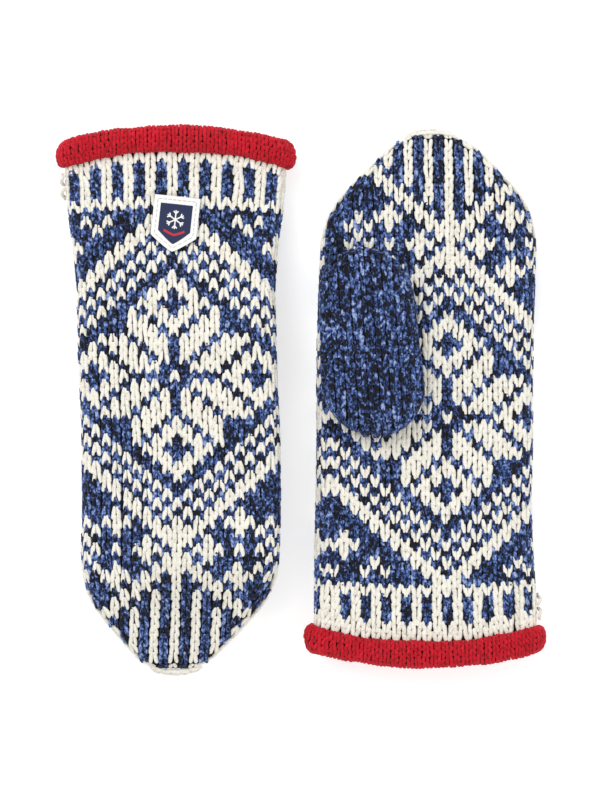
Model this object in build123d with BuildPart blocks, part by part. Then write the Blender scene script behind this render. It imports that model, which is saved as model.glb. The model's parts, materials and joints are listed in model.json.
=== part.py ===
"""A pair of hand-knitted wool mittens, laid flat: the right-hand one with its back up and its thumb
tucked under the palm, the left-hand one with its palm up and its thumb lying on the palm.

Each mitten is a knitted hand (a back panel, a palm panel and a drawn-together tip), a rolled cuff, a
knitted thumb with its own drawn-together tip, a fleece lining in the hand and in the thumb, and a
shield-shaped woven label sewn to the back. The thumb swings sideways about its root.

Millimetres. +X runs across the pair, +Y along the mittens and +Z up from the surface they lie on. The
origin is on that surface, in the middle of the pair.
"""

from build123d import *

import os
from dataclasses import dataclass
from math import atan2, cos, pi, radians, sin

# Knitted fabric and lining
knit_wall = 3.0
thumb_wall = 2.6
lining_wall = 0.9
lining_gap = 0.35
lining_end_gap = 0.4
seam_gap = 0.06

# The pair
centre_distance = 125.5
palm_gap = 0.35

# Hand of the mitten
palm_half_height = 10.5
cuff_half_height = 7.5
floor_flat = 0.25
end_radius_share = 0.8
crown_spans = 8
tip_run = 62.0
tip_cap_length = 10.0

# Cuff roll
roll_depth = 9.0
roll_length = 13.5
roll_outer_edge = 4.2
roll_inner_edge = 1.2

# Thumb, from its root at the swing axis to its tip
thumb_root_radius = 26.5
thumb_tip_radius = 24.5
thumb_root_from_cuff = 128.0
thumb_reach = 43.0
thumb_lean = 3.0
thumb_edge_share = 0.42
thumb_hole_radius = 14.0
thumb_cap_length = 9.0

# Label
label_from_cuff = 35.5
label_width = 23.0
label_height = 27.5
label_shoulder = 0.75
label_turn = -6.0
label_border = 3.6
patch_thickness = 0.9
shield_thickness = 0.5
tack_thickness = 0.35
tack_inset = 1.8
tack_length = 2.0
tack_width = 0.7
tacks_along_side = 3
layer_gap = 0.05

# Yarn ends darned in at the cuff's corner, away from the thumb
tail_radius = 1.1
tail_length = 6.5
tail_from_cuff = 9.0
tail_step = 9.0
tail_gap = 0.4

# Distance from the tip, share of the half width, share of the palm's half height, and how far the
# middle of the fabric rises above lying on the floor. Between these the outline is straight.
TIP_OUTLINE = [
    (0.2, 0.07, 0.14, 4.4),
    (1.2, 0.16, 0.27, 3.0),
    (4.0, 0.28, 0.44, 1.8),
    (10.0, 0.43, 0.62, 0.8),
    (20.0, 0.62, 0.77, 0.4),
    (32.0, 0.82, 0.89, 0.1),
    (44.0, 0.94, 0.96, 0.0),
    (tip_run, 1.0, 1.0, 0.0),
]
# Distance from the cuff's edge, share of the flare and share of the way from the palm's height to
# the cuff's height.
CUFF_OUTLINE = [(0.0, 1.0, 1.0), (20.0, 0.8, 0.7), (45.0, 0.35, 0.2), (70.0, 0.0, 0.0)]
PALM_STATIONS = [96.0, 130.0, 165.0]
widest_station_gap = 40.0
extra_station_step = 33.0


@dataclass
class Mitten:
    """One mitten as it lies. Across is measured from its centre line towards the thumb's side,
    and along from the cuff's edge towards the tip."""

    name: str
    centre: float
    tip_way: int
    thumb_way: int
    palm_up: bool
    length: float
    half_width: float
    cuff_half_width: float
    thumb_across: float
    thumb_height: float
    shift: float = 0.0

    @property
    def cuff_y(self):
        """The cuff's edge, placed so that the roll's end is as far out as the longest tip, then
        moved towards the tip by the mitten's shift."""
        return -self.tip_way * (pair_half_length - roll_length - self.shift)

    def place(self, across, along, height=0.0):
        """A point of the pair from a place on the mitten."""
        x = self.centre + self.thumb_way * across
        return (x, self.cuff_y + self.tip_way * along, height)


pair_half_length = 136.6
right = Mitten(
    name="right",
    centre=-centre_distance / 2,
    tip_way=-1,
    thumb_way=1,
    palm_up=False,
    length=2 * pair_half_length - roll_length,
    half_width=49.5,
    cuff_half_width=55.0,
    thumb_across=20.5,
    thumb_height=12.5,
)
left = Mitten(
    name="left",
    centre=centre_distance / 2,
    tip_way=1,
    thumb_way=-1,
    palm_up=True,
    length=2 * pair_half_length - roll_length - 5.5,
    half_width=54.0,
    cuff_half_width=55.0,
    thumb_across=26.5,
    thumb_height=14.0,
    shift=3.4,
)


def between(outline, distance):
    """The outline's values at a distance, straight between its points."""
    if distance <= outline[0][0]:
        return outline[0][1:]
    for low, high in zip(outline, outline[1:]):
        if distance <= high[0]:
            share = (distance - low[0]) / (high[0] - low[0])
            return tuple(a + share * (b - a) for a, b in zip(low[1:], high[1:]))
    return outline[-1][1:]


def smooth_step(value, start, end):
    """0 before start, 1 after end, and smooth between them."""
    share = min(1.0, max(0.0, (value - start) / (end - start)))
    return share * share * (3 - 2 * share)


def hand_size(mitten, along):
    """Half width, half height and height of the middle of the hand, at a distance from the cuff."""
    width_share, height_share, lift = between(TIP_OUTLINE, mitten.length - along)
    flare, cuff_share = between(CUFF_OUTLINE, along)
    half_width = mitten.half_width * width_share
    half_width += (mitten.cuff_half_width - mitten.half_width) * flare
    half_height = palm_half_height * height_share
    half_height -= (palm_half_height - cuff_half_height) * cuff_share
    roll_lift = (roll_depth - knit_wall) * cuff_share
    middle = half_height + roll_lift + lift - floor_flat * (1 - cuff_share)
    return half_width, half_height, middle


def drape(mitten, across, along):
    """How far the hand is lifted by the thumb tucked under it."""
    if mitten.palm_up:
        return 0.0
    thumb_start = thumb_root_from_cuff - thumb_root_radius
    thumb_end = thumb_root_from_cuff + thumb_reach + thumb_tip_radius
    inner_edge = mitten.thumb_across - thumb_root_radius
    sideways = smooth_step(across, inner_edge - 40.0, inner_edge)
    lengthways = smooth_step(along, thumb_start - 80.0, thumb_start - 5.0)
    lengthways -= smooth_step(along, thumb_end + 3.0, thumb_end + 44.0)
    full = mitten.thumb_height + palm_gap + 2 * floor_flat
    return full * sideways * lengthways


def oval(half_width, half_height, offset):
    """The upper half of a crowned oval, moved outwards by offset: an end arc's three points, the
    crown's points and the other end arc's three, all from the +across end; and the crown's slope."""
    end = end_radius_share * half_height
    side = half_width - end
    crown = (side**2 + half_height**2 - end**2) / (2 * (half_height - end))
    turn = atan2(side, crown - half_height)
    arc = []
    for share in (0.0, 0.5, 1.0):
        angle = share * (pi / 2 - turn)
        arc.append((side + (end + offset) * cos(angle), (end + offset) * sin(angle)))
    top = []
    for step in range(crown_spans + 1):
        angle = turn * (1 - 2 * step / crown_spans)
        radius = crown + offset
        top.append((radius * sin(angle), half_height - crown + radius * cos(angle)))
    return arc, top, [(-across, up) for across, up in reversed(arc)], turn


def half_ring(mitten, along, offset, way, lift=0.0):
    """Draws the upper (way 1) or lower (way -1) half of the hand's outline at one place. Returns
    its two ends, the +across one first."""
    half_width, half_height, middle = hand_size(mitten, along)
    start_arc, top, end_arc, turn = oval(half_width, half_height, offset)

    def placed(points):
        return [
            (mitten.place(across, 0)[0], middle + way * (up + lift) + drape(mitten, across, along))
            for across, up in points
        ]

    start_arc, top, end_arc = placed(start_arc), placed(top), placed(end_arc)
    ThreePointArc(*start_arc)
    run, rise = -mitten.thumb_way * cos(turn), way * sin(turn)
    even = [step / crown_spans for step in range(crown_spans + 1)]
    ends = [Vector(run, rise), Vector(run, -rise)]
    add(Edge.make_spline([Vector(*point) for point in top], tangents=ends, parameters=even))
    ThreePointArc(*end_arc)
    return start_arc[0], end_arc[-1]


def section_plane(mitten, along):
    """The upright plane across the mitten at a distance from its cuff, its own y upwards."""
    return Plane(origin=(0, mitten.place(0, along)[1], 0), x_dir=(1, 0, 0), z_dir=(0, -1, 0))


def stations(mitten, last):
    """Where the hand's sections are, from the cuff's edge to the last one. A longer hand gets more
    of them before its tip."""
    tip = sorted(mitten.length - row[0] for row in TIP_OUTLINE)
    every = [row[0] for row in CUFF_OUTLINE] + PALM_STATIONS
    while tip[0] - every[-1] > widest_station_gap:
        every.append(every[-1] + extra_station_step)
    every += tip
    return [along for along in every if along < last - 1.0] + [last]


def full_section(mitten, along, offset):
    """The hand's whole outline at one place, as a face."""
    with BuildSketch(section_plane(mitten, along)) as section:
        with BuildLine():
            half_ring(mitten, along, offset, 1)
            half_ring(mitten, along, offset, -1)
        make_face()
    return section.sketch


def layer_section(mitten, along, inner, outer, way):
    """One half of a layer between two offsets at one place, as a face."""
    with BuildSketch(section_plane(mitten, along)) as section:
        with BuildLine():
            far_start, far_end = half_ring(mitten, along, outer, way, seam_gap / 2)
            near_start, near_end = half_ring(mitten, along, inner, way, seam_gap / 2)
            Line(far_end, near_end)
            Line(far_start, near_start)
        make_face()
    return section.sketch


def cut_below_floor():
    """Takes off the sliver under the surface the mitten lies on, which leaves it a flat to rest on."""
    with Locations((0, 0, -100)):
        Box(600, 600, 200, mode=Mode.SUBTRACT)


def thumb_root(mitten, height=0.0):
    """The middle of the thumb's root, on the swing axis."""
    return mitten.place(mitten.thumb_across, thumb_root_from_cuff, height)


def thumb_floor(mitten):
    """The height of the thumb's underside."""
    return 2 * palm_half_height - floor_flat + palm_gap if mitten.palm_up else 0.0


def cap_start(mitten):
    """The world y where the thumb's drawn-together tip begins."""
    along = thumb_root_from_cuff + thumb_reach + thumb_tip_radius - thumb_cap_length
    return mitten.place(0, along)[1]


def thumb_body(mitten, inset, edge):
    """The thumb's outline taken in by inset, raised to its height, with rounded edges."""
    tip = mitten.place(mitten.thumb_across + thumb_lean, thumb_root_from_cuff + thumb_reach)
    height = mitten.thumb_height - 2 * inset
    with BuildSketch(Plane.XY.offset(thumb_floor(mitten) + inset)) as outline:
        with Locations(thumb_root(mitten)[:2]):
            Circle(thumb_root_radius - inset)
        with Locations(tip[:2]):
            Circle(thumb_tip_radius - inset)
        make_hull()
    with BuildPart() as body:
        add(outline.sketch)
        extrude(amount=height)
        fillet(body.faces().sort_by(Axis.Z)[0].edges(), edge)
        fillet(body.faces().sort_by(Axis.Z)[-1].edges(), edge)
    return body.part


def beyond_cap(mitten, extra=0.0, mode=Mode.SUBTRACT):
    """The space past the start of the thumb's tip, less extra."""
    y = cap_start(mitten) + mitten.tip_way * (100 - extra)
    with Locations((mitten.centre, y, 0)):
        Box(300, 200, 200, mode=mode)


def thumb_hole(mitten):
    """The round way between the hand and the thumb, through the facing walls."""
    if mitten.palm_up:
        low, high = palm_half_height + 1, thumb_floor(mitten) + mitten.thumb_height / 2
    else:
        low, high = mitten.thumb_height / 2, thumb_floor(mitten) + mitten.thumb_height + palm_half_height
    x, y, _ = thumb_root(mitten)
    with Locations((x, y, low)):
        Cylinder(
            thumb_hole_radius,
            high - low,
            align=(Align.CENTER, Align.CENTER, Align.MIN),
            mode=Mode.SUBTRACT,
        )


def shield_points(inset):
    """A shield's outline, its flat top towards the cuff, as across and along its own middle."""
    half_width = label_width / 2 - inset
    half_height = label_height / 2 - inset
    shoulder = half_height * (2 * label_shoulder - 1)
    return [
        (-half_width, -half_height),
        (half_width, -half_height),
        (half_width, shoulder),
        (0, half_height),
        (-half_width, shoulder),
    ]


def on_label(mitten, points):
    """World x and y of points on the turned label."""
    turn = radians(label_turn)
    placed = []
    for u, v in points:
        across = u * cos(turn) + v * sin(turn)
        along = v * cos(turn) - u * sin(turn)
        placed.append(mitten.place(across, label_from_cuff + along)[:2])
    return placed


def label_layer(mitten, low, high):
    """A layer over the back of the hand near the cuff, between two heights over the fabric."""
    way = -1 if mitten.palm_up else 1
    with BuildPart() as layer:
        for along in stations(mitten, 130.0)[:6]:
            add(layer_section(mitten, along, low, high, way))
        loft()
    return layer.part


def make_mitten(mitten):
    """Builds one mitten's pieces."""
    name = mitten.name
    back_way = -1 if mitten.palm_up else 1
    hand_end = mitten.length - tip_cap_length
    tip_end = mitten.length - TIP_OUTLINE[0][0]
    lining_out = -knit_wall - lining_gap
    lining_in = lining_out - lining_wall
    thumb_edge = thumb_edge_share * mitten.thumb_height

    # Hand
    with BuildPart() as hand_back:
        for along in stations(mitten, hand_end):
            add(layer_section(mitten, along, -knit_wall, 0.0, back_way))
        loft()
        cut_below_floor()
    hand_back.part.label = f"{name}_hand_back"
    export_step(hand_back.part, f"parts/{name}_hand_back.step")

    with BuildPart() as hand_palm:
        for along in stations(mitten, hand_end):
            add(layer_section(mitten, along, -knit_wall, 0.0, -back_way))
        loft()
        cut_below_floor()
        thumb_hole(mitten)
    hand_palm.part.label = f"{name}_hand_palm"
    export_step(hand_palm.part, f"parts/{name}_hand_palm.step")

    with BuildPart() as hand_tip:
        for along in [hand_end, *[a for a in stations(mitten, tip_end) if a > hand_end + 1]]:
            add(full_section(mitten, along, 0.0))
        loft()
    hand_tip.part.label = f"{name}_hand_tip"
    export_step(hand_tip.part, f"parts/{name}_hand_tip.step")

    # Lining of the hand, two fleece panels
    lining_end = hand_end - lining_end_gap
    with BuildPart() as lining_back:
        for along in stations(mitten, lining_end):
            add(layer_section(mitten, along, lining_in, lining_out, back_way))
        loft()
    lining_back.part.label = f"{name}_lining_back"
    export_step(lining_back.part, f"parts/{name}_lining_back.step")

    with BuildPart() as lining_palm:
        for along in stations(mitten, lining_end):
            add(layer_section(mitten, along, lining_in, lining_out, -back_way))
        loft()
        thumb_hole(mitten)
    lining_palm.part.label = f"{name}_lining_palm"
    export_step(lining_palm.part, f"parts/{name}_lining_palm.step")

    # Cuff roll
    outwards = -mitten.tip_way
    with BuildPart() as mouth:
        add(full_section(mitten, 0.0, -knit_wall))
        extrude(amount=roll_length, dir=(0, outwards, 0))
    with BuildPart() as cuff_roll:
        add(full_section(mitten, 0.0, roll_depth - knit_wall))
        extrude(amount=roll_length, dir=(0, outwards, 0))
        ends = cuff_roll.faces().sort_by(Axis.Y)
        fillet(ends[0].edges() + ends[-1].edges(), roll_outer_edge)
        add(mouth.part, mode=Mode.SUBTRACT)
    cuff_roll.part.label = f"{name}_cuff_roll"
    export_step(cuff_roll.part, f"parts/{name}_cuff_roll.step")

    # Thumb
    outer = thumb_body(mitten, 0.0, thumb_edge)
    with BuildPart() as thumb_knit:
        add(outer)
        add(thumb_body(mitten, thumb_wall, thumb_edge - thumb_wall), mode=Mode.SUBTRACT)
        thumb_hole(mitten)
        beyond_cap(mitten)
    thumb_knit.part.label = f"{name}_thumb_knit"
    export_step(thumb_knit.part, f"parts/{name}_thumb_knit.step")

    with BuildPart() as thumb_tip:
        add(outer)
        beyond_cap(mitten, mode=Mode.INTERSECT)
    thumb_tip.part.label = f"{name}_thumb_tip"
    export_step(thumb_tip.part, f"parts/{name}_thumb_tip.step")

    lining_inset = thumb_wall + lining_gap
    edge = max(0.6, thumb_edge - lining_inset)
    with BuildPart() as thumb_lining:
        add(thumb_body(mitten, lining_inset, edge))
        inner_inset = lining_inset + lining_wall
        add(thumb_body(mitten, inner_inset, max(0.3, edge - lining_wall)), mode=Mode.SUBTRACT)
        thumb_hole(mitten)
        beyond_cap(mitten, lining_end_gap)
    thumb_lining.part.label = f"{name}_thumb_lining"
    export_step(thumb_lining.part, f"parts/{name}_thumb_lining.step")

    # Label
    patch_top = layer_gap + patch_thickness
    with BuildPart() as label_patch:
        add(label_layer(mitten, layer_gap, patch_top))
        with BuildSketch(Plane.XY.offset(-20)):
            with BuildLine():
                Polyline(*on_label(mitten, shield_points(0.0)), close=True)
            make_face()
        extrude(amount=100, mode=Mode.INTERSECT)
    label_patch.part.label = f"{name}_label_patch"
    export_step(label_patch.part, f"parts/{name}_label_patch.step")

    shield_low = patch_top + layer_gap
    with BuildPart() as label_shield:
        add(label_layer(mitten, shield_low, shield_low + shield_thickness))
        with BuildSketch(Plane.XY.offset(-20)):
            with BuildLine():
                Polyline(*on_label(mitten, shield_points(label_border)), close=True)
            make_face()
        extrude(amount=100, mode=Mode.INTERSECT)
    label_shield.part.label = f"{name}_label_shield"
    export_step(label_shield.part, f"parts/{name}_label_shield.step")

    corners = shield_points(tack_inset)
    with BuildPart() as label_stitches:
        add(label_layer(mitten, shield_low, shield_low + tack_thickness))
        with BuildSketch(Plane.XY.offset(-20)):
            for (u0, v0), (u1, v1) in zip(corners, corners[1:] + corners[:1]):
                for step in range(tacks_along_side):
                    share = (step + 0.5) / tacks_along_side
                    half = tack_length / 2 / ((u1 - u0) ** 2 + (v1 - v0) ** 2) ** 0.5
                    ends = [
                        (u0 + (u1 - u0) * at, v0 + (v1 - v0) * at)
                        for at in (share - half, share + half)
                    ]
                    with BuildLine():
                        Line(*on_label(mitten, ends))
                    trace(line_width=tack_width)
        extrude(amount=100, mode=Mode.INTERSECT)
    label_stitches.part.label = f"{name}_label_stitches"
    export_step(label_stitches.part, f"parts/{name}_label_stitches.step")

    # Darned yarn ends
    with BuildPart() as yarn_ends:
        for step in range(2):
            along = tail_from_cuff + step * tail_step
            half_width, _, middle = hand_size(mitten, along)
            across = -(half_width + tail_radius + tail_gap)
            with Locations(mitten.place(across, along, middle)):
                Cylinder(tail_radius, tail_length, rotation=(90, 0, 0))
        fillet(yarn_ends.edges().filter_by(GeomType.CIRCLE), tail_radius * 0.6)
    yarn_ends.part.label = f"{name}_yarn_ends"
    export_step(yarn_ends.part, f"parts/{name}_yarn_ends.step")


os.makedirs("parts", exist_ok=True)
for each in (left, right):
    make_mitten(each)
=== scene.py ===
"""A pair of hand-knitted mittens: every stitch is modelled, in cream and heathered blue wool, with red
rolled cuffs, plain blue thumbs, fleece linings and a woven label on the back of each."""

import json
import math

import bpy
import numpy as np
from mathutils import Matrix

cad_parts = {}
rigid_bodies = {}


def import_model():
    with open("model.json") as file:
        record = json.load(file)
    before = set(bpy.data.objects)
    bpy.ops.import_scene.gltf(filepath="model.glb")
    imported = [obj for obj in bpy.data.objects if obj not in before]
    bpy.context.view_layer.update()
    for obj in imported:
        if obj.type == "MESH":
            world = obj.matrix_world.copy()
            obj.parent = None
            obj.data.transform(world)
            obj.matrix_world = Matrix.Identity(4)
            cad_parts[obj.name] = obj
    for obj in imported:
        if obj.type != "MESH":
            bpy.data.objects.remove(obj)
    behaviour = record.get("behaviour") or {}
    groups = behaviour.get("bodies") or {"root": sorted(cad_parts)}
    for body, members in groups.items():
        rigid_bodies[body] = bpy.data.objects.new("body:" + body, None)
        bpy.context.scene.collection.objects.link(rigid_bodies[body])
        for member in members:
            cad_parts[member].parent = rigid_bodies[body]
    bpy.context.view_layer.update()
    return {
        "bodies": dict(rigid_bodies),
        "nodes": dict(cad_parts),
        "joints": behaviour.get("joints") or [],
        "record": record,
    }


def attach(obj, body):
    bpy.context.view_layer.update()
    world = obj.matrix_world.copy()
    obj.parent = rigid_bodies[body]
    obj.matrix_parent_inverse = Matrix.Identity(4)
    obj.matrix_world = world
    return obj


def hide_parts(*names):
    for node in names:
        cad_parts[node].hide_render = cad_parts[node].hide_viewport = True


MM = 0.001
SEED = 20

# Sizes shared with the CAD model, in millimetres
CENTRE = 62.75
CUFF_Y = 123.1
PALM_HALF_HEIGHT = 10.5
CUFF_HALF_HEIGHT = 7.5
END_SHARE = 0.8
ROLL_LIFT = 6.0
ROLL_LENGTH = 13.5
ROLL_HEIGHT = 8.4
PALM_GAP = 0.35
THUMB_ROOT_RADIUS = 26.5
THUMB_TIP_RADIUS = 24.5
THUMB_ALONG = 128.0
THUMB_REACH = 43.0
LABEL_ALONG = 35.5
LABEL_TURN = -6.0
# The share of its thickness that a label keeps under a hand
PRESSED = 0.386
# How near the fabric comes to the surface that it lies on
LOWEST = 0.9

# Gauge of the knitting, in millimetres
ROW = 4.55
STITCH = 5.1
FIRST_ROW = 2.2
# Where the hand has its full width, which sets the width of a column
FULL_AT = 120.0
# The share of its turn that the knitting loses towards the tip, and where
TURN_LOSS = 0.3
TURN_LOSS_START, TURN_LOSS_END = 180, 250
# How far the stitches and the layers under them stand out from the fabric's face
STITCH_OUT = 0.45
THUMB_STITCH_OUT = 0.1
BACKING_OUT = -1.1
FLEECE_OUT = -3.6
# How far a stitch's legs arch outwards
LEG_ARCH = 0.85
CHAIN_ARCH = 0.8
ROLL_ARCH = 0.55

# The chart, in rows: where the rose's middle is, and how far from it the big diamonds cross
MOTIF_ROW = 24
CROSSING = 19

# The cream chain along the tip's edges: its length, its width, the share of that width that it takes from
# each face, where it turns round the end, and how far it stands out there
CHAIN_RUN = 52.0
CHAIN_WIDTH = 5.6
CHAIN_SHARE = 0.58
CHAIN_END_GAP = 2.3
END_BULGE = 1.8

# The cuff: how far its sides are drawn in towards the tip, and how far its middle stands out
CUFF_BEND = 7.5
CUFF_BOW = 1.0
# The roll's rows round its tube, the distance between its columns, and where its tube starts and how far
# round it goes, in half turns
ROLL_ROWS = 11
ROLL_PITCH = 3.9
ROLL_START = -0.38
ROLL_TURN = 1.76
# How far outside the fabric's face the roll's middle is, how much shorter than the CAD roll it is, and how
# far its stitches' middles lie inside its outline
ROLL_OUT = 1.2
ROLL_SPARE = 0.6
ROLL_INSET_UP = 1.1
ROLL_INSET_ALONG = 0.9

# The thumb: the end radius of its section, how far its height is rounded off at its ends, how far its
# stitches lie inside its outline, and how far it leans away from the hand's middle
THUMB_END_SHARE = 0.86
THUMB_ROUNDING = 11.0
THUMB_INSET = 1.1
THUMB_LEAN = 3.0
# Its first row, from its root's end, and how near its last row may come to its tip's end
THUMB_FIRST_ROW = 1.6
THUMB_LAST_GAP = 0.6

# Where the hand's fabric lifts over the tucked thumb: beside it, before its root and beyond its tip
DRAPE_SIDE = 40
DRAPE_BEFORE = (80, 5)
DRAPE_BEYOND = (3, 44)
DRAPE_SPARE = 0.5

# The layers of the label, out from the fabric's face
LABEL_OUT = 1.9
FIELD_OUT = LABEL_OUT + 0.5
THREAD_OUT = LABEL_OUT + 0.75
EMBLEM_OUT = LABEL_OUT + 0.95
# The outlines of its backing and its navy field: half width, and where the top, the shoulder and the point
# are, from the label's middle towards the mitten's tip
PATCH = dict(half_width=11.4, top=-13.6, shoulder=6.2, bottom=13.8)
FIELD = dict(half_width=8.0, top=-9.8, shoulder=3.6, bottom=10.0)

# Shares of the hand's size, at distances from its tip or its cuff
TIP_DISTANCE = [0.0, 1.0, 3.5, 6.0, 11.0, 16.0, 21.0, 26.0, 31.0, 36.0, 41.0, 47.0, 54.0, 62.0]
TIP_WIDTH = [0.06, 0.15, 0.25, 0.34, 0.455, 0.55, 0.64, 0.73, 0.81, 0.875, 0.925, 0.965, 0.99, 1.0]
TIP_HEIGHT_DISTANCE = [0.0, 4.0, 10.0, 20.0, 32.0, 44.0, 62.0]
TIP_HEIGHT = [0.12, 0.44, 0.62, 0.77, 0.89, 0.96, 1.0]
TIP_LIFT = [4.4, 1.8, 0.8, 0.4, 0.1, 0.0, 0.0]
CUFF_DISTANCE = [0.0, 20.0, 45.0, 70.0]
CUFF_FLARE = [1.0, 0.85, 0.35, 0.0]
CUFF_SHARE = [1.0, 0.7, 0.2, 0.0]

# The two mittens. tip_way and thumb_way are the ways that the tip points along Y and the thumb lies along
# X. turn is how many millimetres the knitting is turned round the hand, and shift moves the mitten along Y.
# odd_ribs makes the odd columns of the cuff's ribs cream. sway is how far the outline wanders across, at
# sway_at from the cuff.
MITTENS = {
    "right": dict(
        centre=-CENTRE, tip_way=-1, thumb_way=1, palm_up=False, length=259.7, half_width=49.2,
        cuff_half=54.6, columns=21, turn=-1.3, thumb_across=20.5, thumb_height=12.5, shift=0.0,
        odd_ribs=False,
        sway_at=[0, 60, 100, 150, 200, 235, 260], sway=[0.4, 0.4, 1.4, 3.2, 2.8, 1.2, 0.0],
    ),
    "left": dict(
        centre=CENTRE, tip_way=1, thumb_way=-1, palm_up=True, length=254.2, half_width=53.6,
        cuff_half=55.2, columns=23, turn=-11.0, thumb_across=26.5, thumb_height=14.0, shift=3.4,
        odd_ribs=True,
        sway_at=[0, 60, 100, 150, 200, 235, 255], sway=[0.0, 0.8, 0.2, 0.0, -1.8, -3.6, -4.0],
    ),
}

rng = np.random.default_rng(SEED)


# ---------------------------------------------------------------- shape of a mitten


def smooth(x, xs, ys):
    """A smooth curve through the points (xs, ys), level outside them."""
    xs, ys = np.asarray(xs, float), np.asarray(ys, float)
    x = np.clip(x, xs[0], xs[-1])
    slopes = np.gradient(ys, xs)
    slopes[0] = slopes[0] if xs[1] - xs[0] < 2 else 0.0
    slopes[-1] = 0.0
    k = np.clip(np.searchsorted(xs, x, side="right") - 1, 0, len(xs) - 2)
    h = xs[k + 1] - xs[k]
    t = (x - xs[k]) / h
    a = ys[k] * (2 * t**3 - 3 * t**2 + 1) + slopes[k] * h * (t**3 - 2 * t**2 + t)
    return a + ys[k + 1] * (3 * t**2 - 2 * t**3) + slopes[k + 1] * h * (t**3 - t**2)


def step(x, start, end):
    """A smooth rise from 0 at start to 1 at end."""
    t = np.clip((x - start) / (end - start), 0, 1)
    return t * t * (3 - 2 * t)


def hand_size(m, along):
    """Half width, half height and height of the middle of the hand."""
    tip = m["length"] - along
    flare = smooth(along, CUFF_DISTANCE, CUFF_FLARE)
    cuff = smooth(along, CUFF_DISTANCE, CUFF_SHARE)
    half_width = m["half_width"] * smooth(tip, TIP_DISTANCE, TIP_WIDTH)
    half_width = half_width + (m["cuff_half"] - m["half_width"]) * flare
    half_height = PALM_HALF_HEIGHT * smooth(tip, TIP_HEIGHT_DISTANCE, TIP_HEIGHT)
    half_height = half_height - (PALM_HALF_HEIGHT - CUFF_HALF_HEIGHT) * cuff
    lift = smooth(tip, TIP_HEIGHT_DISTANCE, TIP_LIFT)
    return half_width, half_height, half_height + ROLL_LIFT * cuff + lift


def drape(m, across, along):
    """How far the hand is lifted by the thumb tucked under it."""
    if m["palm_up"]:
        return np.zeros_like(across * along)
    start = THUMB_ALONG - THUMB_ROOT_RADIUS
    end = THUMB_ALONG + THUMB_REACH + THUMB_TIP_RADIUS
    inner = m["thumb_across"] - THUMB_ROOT_RADIUS
    rise = step(along, start - DRAPE_BEFORE[0], start - DRAPE_BEFORE[1])
    fall = step(along, end + DRAPE_BEYOND[0], end + DRAPE_BEYOND[1])
    lift = step(across, inner - DRAPE_SIDE, inner) * (rise - fall)
    return (m["thumb_height"] + PALM_GAP + DRAPE_SPARE) * lift


def arcs(half_width, half_height, end_share=END_SHARE):
    """A crowned oval's end radius, end centre, crown radius and crown angle."""
    end = end_share * half_height
    side = np.maximum(half_width - end, 0.3)
    crown = (side**2 + half_height**2 - end**2) / (2 * (half_height - end))
    return end, side, crown, np.arctan2(side, crown - half_height)


def round_oval(half_width, half_height, share, offset, end_share=END_SHARE):
    """Across and up from the middle of a crowned oval, a share of the way round it. share 0 is the top
    and 0.25 one side."""
    end, side, crown, turn = arcs(half_width, half_height, end_share)
    quarter = crown * turn + end * (math.pi / 2 - turn)
    upper = np.abs(share) <= 0.25
    s = np.where(upper, np.abs(share), 0.5 - np.abs(share)) * 4 * quarter
    on_crown = s <= crown * turn
    angle = np.where(on_crown, s / crown, turn + (s - crown * turn) / end)
    crown_across = (crown + offset) * np.sin(angle)
    across = np.where(on_crown, crown_across, side + (end + offset) * np.sin(angle))
    crown_up = half_height - crown + (crown + offset) * np.cos(angle)
    up = np.where(on_crown, crown_up, (end + offset) * np.cos(angle))
    return across * np.where(share >= 0, 1.0, -1.0), up * np.where(upper, 1.0, -1.0)


def along_y(m, along):
    """The place along Y of a distance from the cuff."""
    return m["tip_way"] * (along - CUFF_Y + m["shift"])


def cuff_bend(m, across, along):
    """How far the cuff's edge is drawn in towards the tip, most at its sides."""
    side = np.minimum(np.abs(across) / m["cuff_half"], 1.1)
    return (CUFF_BEND * side**2.2 - CUFF_BOW) * (1 - step(along, -5, 48))


def round_length(m, along):
    """The length right round the hand."""
    end, _, crown, turn = arcs(*hand_size(m, along)[:2])
    return 4 * (crown * turn + end * (math.pi / 2 - turn))


def hand_point(m, share, along, offset, lowest=LOWEST):
    """A point on the hand. share goes once round: 0 is the middle of the upper face, 0.25 the edge on
    the thumb's side and -0.25 the other edge. offset is outwards from the fabric's face, and lowest is
    how near the surface below it may come."""
    share = (share + 0.5) % 1.0 - 0.5
    half_width, half_height, middle = hand_size(m, along)
    across, up = round_oval(half_width, half_height, share, offset)
    z = middle + up + drape(m, across, along)
    # The fabric isn't quite even: slow waves across and up
    wave = 0.35 * np.sin(along / 17 + across / 23) + 0.3 * np.sin(along / 29 - across / 13 + 1.3)
    z = np.maximum(z + wave * (np.abs(share) < 0.2), lowest)
    x = m["centre"] + m["thumb_way"] * (across + smooth(along, m["sway_at"], m["sway"]))
    y = along_y(m, along + cuff_bend(m, across, along))
    return np.stack([x, y, z], axis=-1)


def frames(point, a, b):
    """Position and unit axes (across, along, out) of a surface point(a, b) at many places."""
    step_a, step_b = 0.002, 0.5
    p = point(a, b)
    ea = point(a + step_a, b) - point(a - step_a, b)
    eb = point(a, b + step_b) - point(a, b - step_b)
    ea /= np.linalg.norm(ea, axis=-1, keepdims=True) + 1e-9
    eb -= ea * np.sum(ea * eb, axis=-1, keepdims=True)
    eb /= np.linalg.norm(eb, axis=-1, keepdims=True) + 1e-9
    out = np.cross(ea, eb)
    out /= np.linalg.norm(out, axis=-1, keepdims=True) + 1e-9
    return p, ea, eb, out


# ---------------------------------------------------------------- the knitted pattern


def petal(u, v):
    """Whether a stitch, u and v from the rose's middle, is in one of its petals."""
    return (v >= 1) & (v <= 4) & (u >= v + 1) & (u <= v + 3)


def plus(a, n, at_a, at_n):
    """A cross of five stitches round column at_a and row at_n."""
    return np.abs(a - at_a) + np.abs(n - at_n) <= 1


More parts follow.
